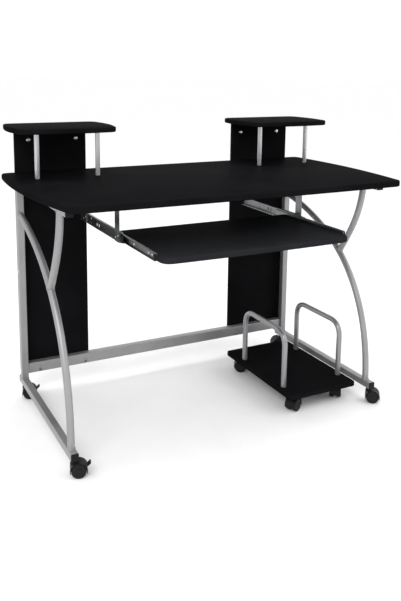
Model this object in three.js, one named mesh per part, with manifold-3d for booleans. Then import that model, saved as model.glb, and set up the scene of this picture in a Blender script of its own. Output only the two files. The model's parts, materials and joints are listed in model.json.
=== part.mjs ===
// Computer desk: a bow-sided tabletop and two raised shelves on two back panels, carried by a welded
// tube frame on casters, with a keyboard tray on ball slides and a separate rolling computer cart.
// Millimetres, +Z up, the user sits towards -Y. The origin is on the floor, below the middle of the
// object's bounding box. Inside the desk group Y = 0 is the front face of the back panels.
import * as THREE from 'three';
import { mergeVertices } from 'three/addons/utils/BufferGeometryUtils.js';
import Module from 'manifold-3d';

const wasm = await Module();
wasm.setup();

// ---------- driving dimensions ----------
const GAP = 0.3;

const TABLE = {
  top: 735, thickness: 18, backHalf: 546, sideControl: 574, frontHalf: 519, front: -613,
  frontBow: 7, backCorner: 26, frontCorner: 36, edgeRadius: 4,
};
const SHELF = {
  top: 885, thickness: 16, backHalf: 150, sideControl: 166, frontHalf: 147, back: 15,
  front: -220, frontBow: 10, backCorner: 34, frontCorner: 34, edgeRadius: 4,
};
const PANEL = { centreX: 385, width: 227, thickness: 15, bottom: 82 };
const SHELF_POST = { radius: 7, xs: [287, 472], y: -158 };

const TUBE = 21;
const TUBE_WALL = 1.5;
const FRAME_X = 493.4;
const FOOT_RAIL = { bottom: 48.5, front: -540.5, back: 6.5 };
const UPRIGHT = { front: -32, back: -11 };
const TOP_RAIL_FRONT = -530;
const PLUG_FLANGE = 3;
const PLUG_INSERT = 12;
const CROSSBAR = { bottom: 82, height: 34, depth: 24, wall: 1.5 };

const BRACE_RADIUS = 10;
const LONG_BRACE = [[-22, 606], [-300, 545], [-510, 400], [-510, 60]];
const SHORT_BRACE = [[-453, 706], [-446, 600], [-395, 532], [-347, 459]];
const LONG_BRACE_STEPS = 22;
const SHORT_BRACE_STEPS = 9;

const SLIDE = { z: 592, back: -38, length: 350, wall: 1.5 };
const SLIDE_OUTER = { inside: 294, outside: 305, height: 30 };
const SLIDE_INNER = { inside: 292.3, outside: 300, height: 21 };
const SLIDE_CAGE = { inside: 296, outside: 302.3, height: 24, wall: 1, length: 150 };
const SLIDE_STOP = { inside: 301, outside: 305, height: 22, length: 20 };
const HANGER = { width: 32, plate: 2, flange: 22, bottom: 578, centresY: { front: -368, rear: -86 } };

const TRAY = {
  backHalf: 292, sideControl: 292, frontHalf: 292, depth: 345, thickness: 16, bottom: 579.5,
  frontBow: 4, backCorner: 10, frontCorner: 34, edgeRadius: 3,
};
// How far the tray stands out of its closed place as built, and how far its slides let it go.
const TRAY_OPEN = 224;
const TRAY_TRAVEL = 257;
// When shut, the tray's front edge stands this far ahead of the front ends of the fixed channels.
const TRAY_OVERHANG = 43;
const CAGE_CLEARANCE = 2;

const CART = {
  centreX: 332, backHalf: 126.5, sideControl: 126.5, frontHalf: 126.5, back: -102, front: -505,
  frontBow: 0, backCorner: 12, frontCorner: 12, top: 66, thickness: 16, edgeRadius: 3,
};
const CART_RAIL = {
  radius: 8.5, halfSpacing: 106.5, backY: -196, frontY: -436, top: 244, bend: 50, steps: 26,
};

const CASTER = {
  wheelRadius: 20, wheelHalfWidth: 18, wheelInner: 5.5, axleRadius: 3, wheelEdge: 3,
  trail: 14, webHalf: 4.4, webEnd: 9.5, webEndFrom: 215, webEndTo: 325, webHole: 3.6,
  fenderInner: 21.2, fenderOuter: 23.2, fenderHalfWidth: 18, fenderFrom: -15, fenderTo: 195,
  stemRadius: 5.5, stemFrom: 37, wheelSides: 20, hoodSides: 10,
};
// The brake lever's pivot sits at this radius and angle from the axle, and the lever rises from it.
const LEVER = { radius: 24.8, angle: 26, length: 12, halfWidth: 10, thickness: 3, rise: 42 };

// Stem positions and the direction in which each caster trails, in degrees from +X.
const DESK_CASTERS = {
  front_left: { x: -FRAME_X, y: -527, heading: -17, brake: true },
  rear_left: { x: -FRAME_X, y: -20, heading: -15, brake: true },
  front_right: { x: FRAME_X, y: -527, heading: -40, brake: false },
  rear_right: { x: FRAME_X, y: -20, heading: 165, brake: false },
};
const CART_CASTERS = {
  front_left: { x: 253, y: -464, heading: 207 },
  rear_left: { x: 253, y: -150, heading: 150 },
  front_right: { x: 410, y: -464, heading: 55 },
  rear_right: { x: 410, y: -150, heading: 100 },
};

// ---------- sizes that follow from them ----------
const tableBottom = TABLE.top - TABLE.thickness;
const shelfBottom = SHELF.top - SHELF.thickness;
const footRailTop = FOOT_RAIL.bottom + TUBE;
const cartBottom = CART.top - CART.thickness;
const uprightTop = tableBottom - GAP;
const slideFront = SLIDE.back - SLIDE.length;
const trayFront = slideFront - TRAY_OVERHANG - TRAY_OPEN;
const outerBack = PANEL.thickness;
const middleY = (trayFront + outerBack) / 2;

// ---------- materials ----------
function material(color, roughness, metalness) {
  return new THREE.MeshStandardMaterial({ color, roughness, metalness });
}
const blackBoard = material(0x1a1a1c, 0.55, 0);
const silverPaint = material(0xa3a4a6, 0.4, 0.6);
const chrome = material(0xd5d6d8, 0.15, 1);
const zincPlate = material(0xb4b7ba, 0.35, 0.9);
const blackPlastic = material(0x141415, 0.5, 0);
const cartTube = material(0xb6b7b8, 0.35, 0.6);

// ---------- geometry helpers ----------
function solid(geometry) {
  const bare = geometry.clone();
  bare.deleteAttribute('normal');
  bare.deleteAttribute('uv');
  const merged = mergeVertices(bare);
  return new wasm.Manifold(new wasm.Mesh({
    numProp: 3,
    vertProperties: merged.attributes.position.array,
    triVerts: new Uint32Array(merged.index.array),
  }));
}

function geometryOf(manifold) {
  const result = manifold.getMesh();
  const geometry = new THREE.BufferGeometry();
  geometry.setAttribute('position', new THREE.BufferAttribute(result.vertProperties, 3));
  geometry.setIndex(new THREE.BufferAttribute(result.triVerts, 1));
  geometry.computeVertexNormals();
  return geometry;
}

function piece(parent, name, geometry, look) {
  const mesh = new THREE.Mesh(geometry, look);
  mesh.name = name;
  parent.add(mesh);
  return mesh;
}

// A box given by its lowest and highest corners.
function boxBetween(low, high) {
  const size = high.map((value, i) => value - low[i]);
  const box = new THREE.BoxGeometry(...size);
  box.translate(...low.map((value, i) => value + size[i] / 2));
  return box;
}

// A flat board seen from above: a straight back edge, a bowed front and rounded corners. Each side
// is one curve from backHalf to frontHalf, pulled towards sideControl halfway along.
function boardShape({ backHalf, sideControl, frontHalf, back, front, frontBow, backCorner, frontCorner }) {
  const ends = front + frontBow;
  const sideBack = back - backCorner;
  const sideFront = ends + frontCorner;
  const middle = (sideBack + sideFront) / 2;
  const shape = new THREE.Shape();
  shape.moveTo(-backHalf + backCorner, back);
  shape.lineTo(backHalf - backCorner, back);
  shape.quadraticCurveTo(backHalf, back, backHalf, sideBack);
  shape.quadraticCurveTo(sideControl, middle, frontHalf, sideFront);
  shape.quadraticCurveTo(frontHalf, ends, frontHalf - frontCorner, ends);
  shape.quadraticCurveTo(0, front - frontBow, -frontHalf + frontCorner, ends);
  shape.quadraticCurveTo(-frontHalf, ends, -frontHalf, sideFront);
  shape.quadraticCurveTo(-sideControl, middle, -backHalf, sideBack);
  shape.quadraticCurveTo(-backHalf, back, -backHalf + backCorner, back);
  return shape;
}

// An outline extruded upwards with softly rounded top and bottom edges.
function board(shape, thickness, edgeRadius, curveSegments = 6) {
  return new THREE.ExtrudeGeometry(shape, {
    depth: thickness - 2 * edgeRadius,
    bevelEnabled: true,
    bevelThickness: edgeRadius,
    bevelSize: edgeRadius,
    bevelOffset: -edgeRadius,
    bevelSegments: 2,
    curveSegments,
  }).translate(0, 0, edgeRadius);
}

function rectangle(width, height) {
  const points = [[-1, -1], [1, -1], [1, 1], [-1, 1]];
  return points.map(([sx, sy]) => new THREE.Vector2((sx * width) / 2, (sy * height) / 2));
}

// A hollow rectangular tube along Z, from z = 0 to z = length, open at both ends.
function hollowTube(width, height, wall, length) {
  const shape = new THREE.Shape(rectangle(width, height));
  shape.holes.push(new THREE.Path(rectangle(width - 2 * wall, height - 2 * wall).reverse()));
  return new THREE.ExtrudeGeometry(shape, { depth: length, bevelEnabled: false });
}

// The same tube along -Y, its back end at y = 0 and its section centred on the line.
function tubeAlongY(width, height, wall, length) {
  return hollowTube(width, height, wall, length).rotateX(Math.PI / 2);
}

function roundSection(radius, sides = 12) {
  const points = [];
  for (let i = 0; i < sides; i += 1) {
    const angle = (2 * Math.PI * i) / sides;
    points.push(new THREE.Vector2(radius * Math.cos(angle), radius * Math.sin(angle)));
  }
  return new THREE.Shape(points);
}

function roundTube(curve, radius, steps) {
  return new THREE.ExtrudeGeometry(roundSection(radius), {
    steps, bevelEnabled: false, extrudePath: curve,
  });
}

// A section in the XZ plane extruded along -Y from y = 0.
function sectionAlongY(points, length) {
  const shape = new THREE.Shape(points.map(([x, z]) => new THREE.Vector2(x, z)));
  return new THREE.ExtrudeGeometry(shape, { depth: length, bevelEnabled: false }).rotateX(Math.PI / 2);
}

// A channel whose web stands at x = outside and whose two flanges reach back to x = inside.
function channelSection({ inside, outside, height }, wall) {
  const half = height / 2;
  return [
    [inside, -half], [outside, -half], [outside, half], [inside, half],
    [inside, half - wall], [outside - wall, half - wall],
    [outside - wall, -half + wall], [inside, -half + wall],
  ];
}

// The same section turned round: its web stands at x = inside.
function reversedChannelSection({ inside, outside, height }, wall) {
  const swapped = channelSection({ inside: -outside, outside: -inside, height }, wall);
  return swapped.map(([x, z]) => [-x, z]).reverse();
}

function mirroredX(geometry) {
  const flipped = geometry.index ? geometry.toNonIndexed() : geometry.clone();
  flipped.scale(-1, 1, 1);
  const position = flipped.attributes.position;
  const corner = new THREE.Vector3();
  for (let i = 0; i < position.count; i += 3) {
    corner.fromBufferAttribute(position, i);
    position.setXYZ(i, position.getX(i + 1), position.getY(i + 1), position.getZ(i + 1));
    position.setXYZ(i + 1, corner.x, corner.y, corner.z);
  }
  flipped.computeVertexNormals();
  return flipped;
}

// Adds a right-hand piece and its mirror image on the left.
function pair(parent, name, geometry, look) {
  piece(parent, `right_${name}`, geometry, look);
  piece(parent, `left_${name}`, mirroredX(geometry), look);
}

// ---------- boards ----------
function addBoards(desk) {
  const table = board(boardShape({ ...TABLE, back: -GAP }), TABLE.thickness, TABLE.edgeRadius);
  piece(desk, 'tabletop', table.translate(0, 0, tableBottom), blackBoard);

  const shelf = board(boardShape(SHELF), SHELF.thickness, SHELF.edgeRadius);
  shelf.translate(PANEL.centreX, 0, shelfBottom);
  pair(desk, 'shelf', shelf, blackBoard);

  const half = PANEL.width / 2;
  const panel = boxBetween(
    [PANEL.centreX - half, 0, PANEL.bottom],
    [PANEL.centreX + half, PANEL.thickness, shelfBottom - GAP],
  );
  pair(desk, 'back_panel', panel, blackBoard);
}

function addShelfPosts(desk) {
  const height = shelfBottom - TABLE.top - 2 * GAP;
  const names = ['inner', 'outer'];
  SHELF_POST.xs.forEach((x, i) => {
    const post = new THREE.CylinderGeometry(SHELF_POST.radius, SHELF_POST.radius, height, 20);
    post.rotateX(Math.PI / 2);
    post.translate(x, SHELF_POST.y, TABLE.top + GAP + height / 2);
    pair(desk, `shelf_post_${names[i]}`, post, chrome);
  });
}

// ---------- welded side frames ----------
function braceCurve(points) {
  return new THREE.CubicBezierCurve3(...points.map(([y, z]) => new THREE.Vector3(FRAME_X, y, z)));
}

// A block across the right frame, from low to high in Y and Z, that trims a brace's end.
function endCutter(low, high) {
  const reach = 2 * BRACE_RADIUS;
  return solid(boxBetween([FRAME_X - reach, ...low], [FRAME_X + reach, ...high]));
}

// The long brace sweeps from the upright forwards and down to the front of the foot rail.
function longBrace() {
  const body = solid(roundTube(braceCurve(LONG_BRACE), BRACE_RADIUS, LONG_BRACE_STEPS));
  const behindUpright = endCutter([UPRIGHT.front - GAP, 0], [SHELF.back, TABLE.top]);
  const insideRail = endCutter([TABLE.front, 0], [0, footRailTop + GAP]);
  return geometryOf(body.subtract(behindUpright).subtract(insideRail));
}

// The short brace drops from the top rail and lands on the long brace.
function shortBrace() {
  const body = solid(roundTube(braceCurve(SHORT_BRACE), BRACE_RADIUS, SHORT_BRACE_STEPS));
  const insideTopRail = endCutter([TABLE.front, uprightTop - TUBE - GAP], [0, TABLE.top]);
  const longClearance = solid(
    roundTube(braceCurve(LONG_BRACE), BRACE_RADIUS + GAP, LONG_BRACE_STEPS));
  return geometryOf(body.subtract(insideTopRail).subtract(longClearance));
}

function plug(height) {
  const insert = TUBE - 2 * TUBE_WALL - 2 * GAP;
  const shape = new THREE.Shape(rectangle(TUBE, height));
  const flange = new THREE.ExtrudeGeometry(shape, { depth: PLUG_FLANGE, bevelEnabled: false });
  const tongue = new THREE.BoxGeometry(insert, insert, PLUG_INSERT + 1);
  tongue.translate(0, 0, -PLUG_INSERT / 2 + 0.5);
  return geometryOf(solid(flange).add(solid(tongue)));
}

function addSideFrames(desk) {
  const railCentre = FOOT_RAIL.bottom + TUBE / 2;
  const railLength = FOOT_RAIL.back - FOOT_RAIL.front;
  const footRail = tubeAlongY(TUBE, TUBE, TUBE_WALL, railLength);
  pair(desk, 'foot_rail', footRail.translate(FRAME_X, FOOT_RAIL.back, railCentre), silverPaint);

  const uprightHeight = uprightTop - footRailTop - GAP;
  const upright = hollowTube(TUBE, UPRIGHT.back - UPRIGHT.front, TUBE_WALL, uprightHeight);
  upright.translate(FRAME_X, (UPRIGHT.front + UPRIGHT.back) / 2, footRailTop + GAP);
  pair(desk, 'upright', upright, silverPaint);

  const topRailCentre = uprightTop - TUBE / 2;
  const topRailLength = UPRIGHT.front - GAP - TOP_RAIL_FRONT;
  const topRail = tubeAlongY(TUBE, TUBE, TUBE_WALL, topRailLength);
  pair(desk, 'top_rail', topRail.translate(FRAME_X, UPRIGHT.front - GAP, topRailCentre), silverPaint);

  pair(desk, 'long_brace', longBrace(), silverPaint);
  pair(desk, 'short_brace', shortBrace(), silverPaint);

  const frontPlug = plug(TUBE).rotateX(Math.PI / 2);
  const backPlug = plug(TUBE).rotateX(-Math.PI / 2);
  pair(desk, 'foot_plug_front',
    frontPlug.clone().translate(FRAME_X, FOOT_RAIL.front - GAP, railCentre), blackPlastic);
  pair(desk, 'foot_plug_rear',
    backPlug.translate(FRAME_X, FOOT_RAIL.back + GAP, railCentre), blackPlastic);
  pair(desk, 'top_plug_front',
    frontPlug.clone().translate(FRAME_X, TOP_RAIL_FRONT - GAP, topRailCentre), blackPlastic);
}

function addCrossbar(desk) {
  const length = 2 * (FRAME_X - TUBE / 2 - GAP);
  const bar = hollowTube(CROSSBAR.height, CROSSBAR.depth, CROSSBAR.wall, length);
  bar.rotateY(Math.PI / 2);
  bar.translate(-length / 2, -GAP - CROSSBAR.depth / 2, CROSSBAR.bottom + CROSSBAR.height / 2);
  piece(desk, 'rear_crossbar', bar, silverPaint);
}

// ---------- keyboard tray and its slides ----------
function addFixedSlides(desk) {
  const outer = sectionAlongY(channelSection(SLIDE_OUTER, SLIDE.wall), SLIDE.length);
  pair(desk, 'slide_outer', outer.translate(0, SLIDE.back, SLIDE.z), zincPlate);

  const stopHalf = SLIDE_STOP.height / 2;
  const stop = boxBetween(
    [SLIDE_STOP.inside, slideFront - GAP - SLIDE_STOP.length, SLIDE.z - stopHalf],
    [SLIDE_STOP.outside, slideFront - GAP, SLIDE.z + stopHalf],
  );
  pair(desk, 'slide_stop', stop, blackPlastic);

  // Each hanger is an L-shaped strap: its flange lies under the tabletop and its plate runs down
  // over the outer face of the channel.
  const plateInside = SLIDE_OUTER.outside + GAP;
  const plateOutside = plateInside + HANGER.plate;
  const section = [
    [plateInside, HANGER.bottom], [plateOutside, HANGER.bottom],
    [plateOutside, uprightTop], [plateOutside - HANGER.flange, uprightTop],
    [plateOutside - HANGER.flange, uprightTop - HANGER.plate],
    [plateInside, uprightTop - HANGER.plate],
  ];
  for (const [place, centre] of Object.entries(HANGER.centresY)) {
    const hanger = sectionAlongY(section, HANGER.width);
    pair(desk, `slide_hanger_${place}`, hanger.translate(0, centre + HANGER.width / 2, 0), zincPlate);
  }
}

function addTray(desk) {
  const inner = sectionAlongY(reversedChannelSection(SLIDE_INNER, SLIDE.wall), SLIDE.length);
  pair(desk, 'slide_inner', inner.translate(0, SLIDE.back - TRAY_OPEN, SLIDE.z), zincPlate);

  // The ball cage moves half as far as the tray and stops just inside the front of the channel.
  const cageBack = slideFront + CAGE_CLEARANCE + (TRAY_TRAVEL - TRAY_OPEN) / 2 + SLIDE_CAGE.length;
  const cage = sectionAlongY(channelSection(SLIDE_CAGE, SLIDE_CAGE.wall), SLIDE_CAGE.length);
  pair(desk, 'slide_ball_cage', cage.translate(0, cageBack, SLIDE.z), zincPlate);

  const outline = boardShape({ ...TRAY, back: trayFront + TRAY.depth, front: trayFront });
  const tray = board(outline, TRAY.thickness, TRAY.edgeRadius);
  piece(desk, 'keyboard_tray', tray.translate(0, 0, TRAY.bottom), blackBoard);
}

// ---------- computer cart ----------
function addCart(desk) {
  const base = board(boardShape(CART), CART.thickness, CART.edgeRadius, 4);
  piece(desk, 'cart_board', base.translate(CART.centreX, 0, cartBottom), blackBoard);

  // Each rail is an upside-down U in a YZ plane, standing on the board.
  const { backY, frontY, top, bend, radius, steps } = CART_RAIL;
  const foot = CART.top + GAP;
  for (const [side, sign] of [['left', -1], ['right', 1]]) {
    const x = CART.centreX + sign * CART_RAIL.halfSpacing;
    const at = (y, z) => new THREE.Vector3(x, y, z);
    const path = new THREE.CurvePath();
    path.add(new THREE.LineCurve3(at(backY, foot), at(backY, top - bend)));
    path.add(new THREE.QuadraticBezierCurve3(
      at(backY, top - bend), at(backY, top), at(backY - bend, top)));
    path.add(new THREE.LineCurve3(at(backY - bend, top), at(frontY + bend, top)));
    path.add(new THREE.QuadraticBezierCurve3(
      at(frontY + bend, top), at(frontY, top), at(frontY, top - bend)));
    path.add(new THREE.LineCurve3(at(frontY, top - bend), at(frontY, foot)));
    piece(desk, `cart_${side}_rail`, roundTube(path, radius, steps), cartTube);
  }
}

// ---------- casters ----------
// A caster in its own frame: the stem stands on the origin, the wheel trails towards +X and the
// axle lies along Y. top is the height of the surface that the stem is fixed to.
function casterHood(top) {
  const c = CASTER;
  const toRadians = THREE.MathUtils.degToRad;
  const arc = (shape, radius, from, to, clockwise) =>
    shape.absarc(0, 0, radius, toRadians(from), toRadians(to), clockwise);

  const fenderShape = new THREE.Shape();
  arc(fenderShape, c.fenderOuter, c.fenderFrom, c.fenderTo, false);
  arc(fenderShape, c.fenderInner, c.fenderTo, c.fenderFrom, true);
  const fender = new THREE.ExtrudeGeometry(fenderShape, {
    depth: 2 * c.fenderHalfWidth, bevelEnabled: false, curveSegments: c.hoodSides,
  }).translate(0, 0, -c.fenderHalfWidth);

  const webShape = new THREE.Shape();
  arc(webShape, c.fenderInner + 1, c.fenderFrom, c.fenderTo, false);
  arc(webShape, c.webEnd, c.webEndFrom, c.webEndTo, false);
  const hole = new THREE.Path();
  arc(hole, c.webHole, 0, 360, true);
  webShape.holes.push(hole);
  const web = new THREE.ExtrudeGeometry(webShape, {
    depth: 2 * c.webHalf, bevelEnabled: false, curveSegments: c.hoodSides,
  }).translate(0, 0, -c.webHalf);

  const wheelPlane = new THREE.Matrix4().makeRotationX(Math.PI / 2);
  wheelPlane.premultiply(new THREE.Matrix4().makeTranslation(c.trail, 0, c.wheelRadius));
  fender.applyMatrix4(wheelPlane);
  web.applyMatrix4(wheelPlane);

  const stemHeight = top - GAP - c.stemFrom;
  const stem = new THREE.CylinderGeometry(c.stemRadius, c.stemRadius, stemHeight, 12);
  stem.rotateX(Math.PI / 2).translate(0, 0, c.stemFrom + stemHeight / 2);
  return geometryOf(solid(fender).add(solid(web)).add(solid(stem)));
}

// Two discs on one axle, lathed as a single spool about Y.
function twinWheel() {
  const c = CASTER;
  const half = [
    [0, c.wheelHalfWidth], [c.wheelRadius - c.wheelEdge, c.wheelHalfWidth],
    [c.wheelRadius, c.wheelHalfWidth - c.wheelEdge], [c.wheelRadius, c.wheelInner],
    [c.axleRadius, c.wheelInner],
  ];
  const profile = [...half, ...half.map(([x, y]) => [x, -y]).reverse()];
  const points = profile.map(([x, y]) => new THREE.Vector2(x, y)).reverse();
  return new THREE.LatheGeometry(points, CASTER.wheelSides);
}

function brakeLever() {
  const lever = new THREE.BoxGeometry(LEVER.length, 2 * LEVER.halfWidth, LEVER.thickness);
  lever.translate(LEVER.length / 2, 0, 0);
  return lever;
}

function addCaster(parent, name, spot, top) {
  const swivel = new THREE.Group();
  swivel.position.set(spot.x, spot.y, 0);
  swivel.rotation.z = THREE.MathUtils.degToRad(spot.heading);
  parent.add(swivel);
  piece(swivel, `${name}_caster_hood`, casterHood(top), blackPlastic);
  const wheel = piece(swivel, `${name}_caster_wheels`, twinWheel(), blackPlastic);
  wheel.position.set(CASTER.trail, 0, CASTER.wheelRadius);
  if (spot.brake) {
    const pivot = new THREE.Group();
    const angle = THREE.MathUtils.degToRad(LEVER.angle);
    const ahead = CASTER.trail + LEVER.radius * Math.cos(angle);
    pivot.position.set(ahead, 0, CASTER.wheelRadius + LEVER.radius * Math.sin(angle));
    pivot.rotation.y = THREE.MathUtils.degToRad(-LEVER.rise);
    swivel.add(pivot);
    piece(pivot, `${name}_caster_brake`, brakeLever(), blackPlastic);
  }
}

function addCasters(desk) {
  for (const [place, spot] of Object.entries(DESK_CASTERS)) {
    addCaster(desk, place, spot, FOOT_RAIL.bottom);
  }
  for (const [place, spot] of Object.entries(CART_CASTERS)) {
    addCaster(desk, `cart_${place}`, spot, cartBottom);
  }
}

// ---------- the whole object ----------
const desk = new THREE.Group();
desk.position.y = -middleY;
addBoards(desk);
addShelfPosts(desk);
addSideFrames(desk);
addCrossbar(desk);
addFixedSlides(desk);
addTray(desk);
addCart(desk);
addCasters(desk);

const object = new THREE.Group();
object.add(desk);
export default object;
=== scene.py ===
"""Looks for a rolling computer desk: laminate boards, welded tube frames, ball slides and casters.

Metres, +Z up, the user sits towards -Y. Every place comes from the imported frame's boxes and joints.
"""
import json
import math

import bmesh
import bpy
from mathutils import Matrix, Vector


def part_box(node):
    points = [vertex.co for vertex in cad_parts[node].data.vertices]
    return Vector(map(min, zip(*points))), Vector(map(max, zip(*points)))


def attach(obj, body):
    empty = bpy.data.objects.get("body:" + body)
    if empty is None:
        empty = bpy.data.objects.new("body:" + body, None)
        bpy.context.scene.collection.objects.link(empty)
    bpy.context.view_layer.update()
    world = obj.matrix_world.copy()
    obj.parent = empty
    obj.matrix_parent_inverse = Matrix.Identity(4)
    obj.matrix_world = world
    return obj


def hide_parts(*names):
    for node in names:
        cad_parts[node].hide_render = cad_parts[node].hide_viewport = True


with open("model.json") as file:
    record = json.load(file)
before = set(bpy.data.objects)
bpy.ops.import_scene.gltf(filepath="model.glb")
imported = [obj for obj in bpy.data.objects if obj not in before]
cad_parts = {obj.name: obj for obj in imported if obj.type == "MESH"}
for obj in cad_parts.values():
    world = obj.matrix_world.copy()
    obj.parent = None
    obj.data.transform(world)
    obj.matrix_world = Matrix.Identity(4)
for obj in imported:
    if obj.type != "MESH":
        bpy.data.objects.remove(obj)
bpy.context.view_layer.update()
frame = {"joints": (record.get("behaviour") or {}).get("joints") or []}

JOINTS = {joint["name"]: joint for joint in frame["joints"]}
DESK, TRAY, CAGES, CART = "desk_frame", "tray", "ball_cages", "cart"
SIDES = {"left": -1, "right": 1}
X, Y, Z = Vector((1, 0, 0)), Vector((0, 1, 0)), Vector((0, 0, 1))

# ---------- shapes that the boxes alone don't give ----------
# Half widths at the back and front, the pull of each side halfway, the front's bow, the corners.
TABLE_SHAPE = dict(back=0.546, control=0.574, front=0.519, bow=0.007, corners=(0.026, 0.036))
SHELF_SHAPE = dict(back=0.150, control=0.166, front=0.147, bow=0.010, corners=(0.034, 0.034))
TRAY_SHAPE = dict(back=0.292, control=0.292, front=0.292, bow=0.004, corners=(0.010, 0.034))
CART_SHAPE = dict(back=0.1265, control=0.1265, front=0.1265, bow=0.0, corners=(0.012, 0.012))

BRACE_RADIUS = 0.010
# Heights, and distances in front of the back panels, of each brace's four Bezier points.
LONG_BRACE = ((-0.022, 0.606), (-0.300, 0.545), (-0.510, 0.400), (-0.510, 0.060))
SHORT_BRACE = ((-0.453, 0.706), (-0.446, 0.600), (-0.395, 0.532), (-0.347, 0.459))
RAIL_BEND = 0.050
TUBE_WALL = 0.0015
TUBE_CORNER = 0.0022
PLUG_FLANGE = 0.003
BRAKE_RISE = math.radians(42)

# How far the rims of the boards are rounded.
THICK_RIM, THIN_RIM = 0.0042, 0.0032
PANEL_CORNER, PANEL_RIM = 0.0025, 0.0016

# Screw heads, as radius and height.
SLIDE_SCREW = (0.0036, 0.0017)
CROSSBAR_SCREW = (0.0032, 0.0016)
UPRIGHT_BOLT = (0.0042, 0.0016)
UPRIGHT_BOLT_HEIGHT = 0.424
# The crossbar's holes, from the middle of the desk and above the bar's lower edge.
CROSSBAR_HOLES = (0.443, 0.290)
CROSSBAR_HOLE = dict(rise=0.010, radius=0.0042, length=0.004)
# The cutters reach this deep, well past any sheet that they cut.
CUT_DEPTH = 0.006

PANEL_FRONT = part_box("left_back_panel")[0].y


# ---------- materials ----------
class Surface:
    """A node material under construction, in the object's own coordinates."""

    def __init__(self, name):
        self.material = bpy.data.materials.new(name)
        self.material.use_nodes = True
        self.tree = self.material.node_tree
        self.tree.nodes.clear()
        self.shader = self.node("ShaderNodeBsdfPrincipled")
        output = self.node("ShaderNodeOutputMaterial")
        self.link(self.shader.outputs["BSDF"], output.inputs["Surface"])
        self.coordinates = self.node("ShaderNodeTexCoord").outputs["Object"]

    def node(self, kind, **settings):
        made = self.tree.nodes.new(kind)
        for key, value in settings.items():
            setattr(made, key, value)
        return made

    def link(self, source, target):
        self.tree.links.new(source, target)

    def noise(self, scale, detail=4.0, stretch=(1, 1, 1)):
        mapping = self.node("ShaderNodeMapping")
        mapping.inputs["Scale"].default_value = stretch
        self.link(self.coordinates, mapping.inputs["Vector"])
        made = self.node("ShaderNodeTexNoise")
        made.inputs["Scale"].default_value = scale
        made.inputs["Detail"].default_value = detail
        self.link(mapping.outputs["Vector"], made.inputs["Vector"])
        return made.outputs["Fac"]

    def ranged(self, value, low, high, from_low=0.3, from_high=0.7):
        made = self.node("ShaderNodeMapRange")
        made.inputs["From Min"].default_value = from_low
        made.inputs["From Max"].default_value = from_high
        made.inputs["To Min"].default_value = low
        made.inputs["To Max"].default_value = high
        self.link(value, made.inputs["Value"])
        return made.outputs["Result"]

    def mixed(self, factor, first, second):
        made = self.node("ShaderNodeMix", data_type="RGBA")
        self.link(factor, made.inputs["Factor"])
        for socket, value in ((made.inputs[6], first), (made.inputs[7], second)):
            if isinstance(value, tuple):
                socket.default_value = (*value, 1)
            else:
                self.link(value, socket)
        return made.outputs[2]

    def product(self, first, second):
        made = self.node("ShaderNodeMath", operation="MULTIPLY")
        self.link(first, made.inputs[0])
        self.link(second, made.inputs[1])
        return made.outputs["Value"]

    def edges(self, radius):
        """1 along convex and concave edges, 0 on flat faces."""
        rounded = self.node("ShaderNodeBevel", samples=4)
        rounded.inputs["Radius"].default_value = radius
        geometry = self.node("ShaderNodeNewGeometry")
        dot = self.node("ShaderNodeVectorMath", operation="DOT_PRODUCT")
        self.link(rounded.outputs["Normal"], dot.inputs[0])
        self.link(geometry.outputs["Normal"], dot.inputs[1])
        return self.ranged(dot.outputs["Value"], 1, 0, 0.80, 0.985)

    def bump(self, height, strength, distance):
        made = self.node("ShaderNodeBump")
        made.inputs["Strength"].default_value = strength
        made.inputs["Distance"].default_value = distance
        self.link(height, made.inputs["Height"])
        self.link(made.outputs["Normal"], self.shader.inputs["Normal"])


def surface(name, dark, light, worn, metallic, roughness, grain, bump, wear=0.5, patch=9.0,
            stretch=(1, 1, 1), ior=1.45):
    """Two tones in soft patches, fine grain in gloss and relief, and rubbed edges."""
    s = Surface(name)
    patches = s.noise(patch, stretch=stretch)
    fine = s.noise(grain, detail=2.0, stretch=stretch)
    tone = s.mixed(s.ranged(patches, 0, 1), dark, light)
    speckled = s.mixed(s.ranged(fine, 0, 0.35), tone, light)
    rubbed = s.product(s.edges(0.0012), s.ranged(s.noise(70), 0, wear))
    s.link(s.mixed(rubbed, speckled, worn), s.shader.inputs["Base Color"])
    s.link(s.ranged(patches, *roughness), s.shader.inputs["Roughness"])
    s.shader.inputs["Metallic"].default_value = metallic
    s.shader.inputs["IOR"].default_value = ior
    s.bump(fine, *bump)
    return s.material


LAMINATE = surface("black_laminate", (0.0042, 0.0042, 0.0047), (0.0072, 0.0072, 0.0080),
                   (0.022, 0.022, 0.023), 0.0, (0.44, 0.56), 1300, (0.18, 0.0004), wear=0.35,
                   ior=1.012)
# The tray's board is the same black laminate, made about three times lighter: painted light that
# lifts the tray out of the shade under the tabletop.
TRAY_LAMINATE_PAINTED_LIGHT = surface("tray_laminate_painted_light", (0.0125, 0.0130, 0.0148), (0.0185, 0.0190, 0.0210),
                        (0.036, 0.036, 0.038), 0.0, (0.46, 0.58), 1300, (0.18, 0.0004), wear=0.35,
                        ior=1.03)
SILVER = surface("silver_powder_coat", (0.235, 0.235, 0.24), (0.30, 0.30, 0.305),
                 (0.50, 0.50, 0.50), 0.55, (0.34, 0.46), 1500, (0.16, 0.0003), wear=0.5)
CART_SILVER = surface("cart_silver_paint", (0.23, 0.23, 0.24), (0.30, 0.30, 0.31),
                      (0.52, 0.52, 0.52), 0.6, (0.26, 0.36), 1100, (0.08, 0.0002), wear=0.4)
SATIN = surface("satin_metal", (0.50, 0.50, 0.52), (0.60, 0.60, 0.62),
                (0.80, 0.80, 0.80), 0.85, (0.26, 0.36), 900, (0.10, 0.0002),
                stretch=(1, 1, 0.05))
ZINC = surface("zinc_plate", (0.11, 0.115, 0.12), (0.21, 0.215, 0.22),
               (0.62, 0.62, 0.62), 0.9, (0.24, 0.40), 700, (0.12, 0.0002), patch=40,
               stretch=(1, 0.12, 1))
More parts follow.
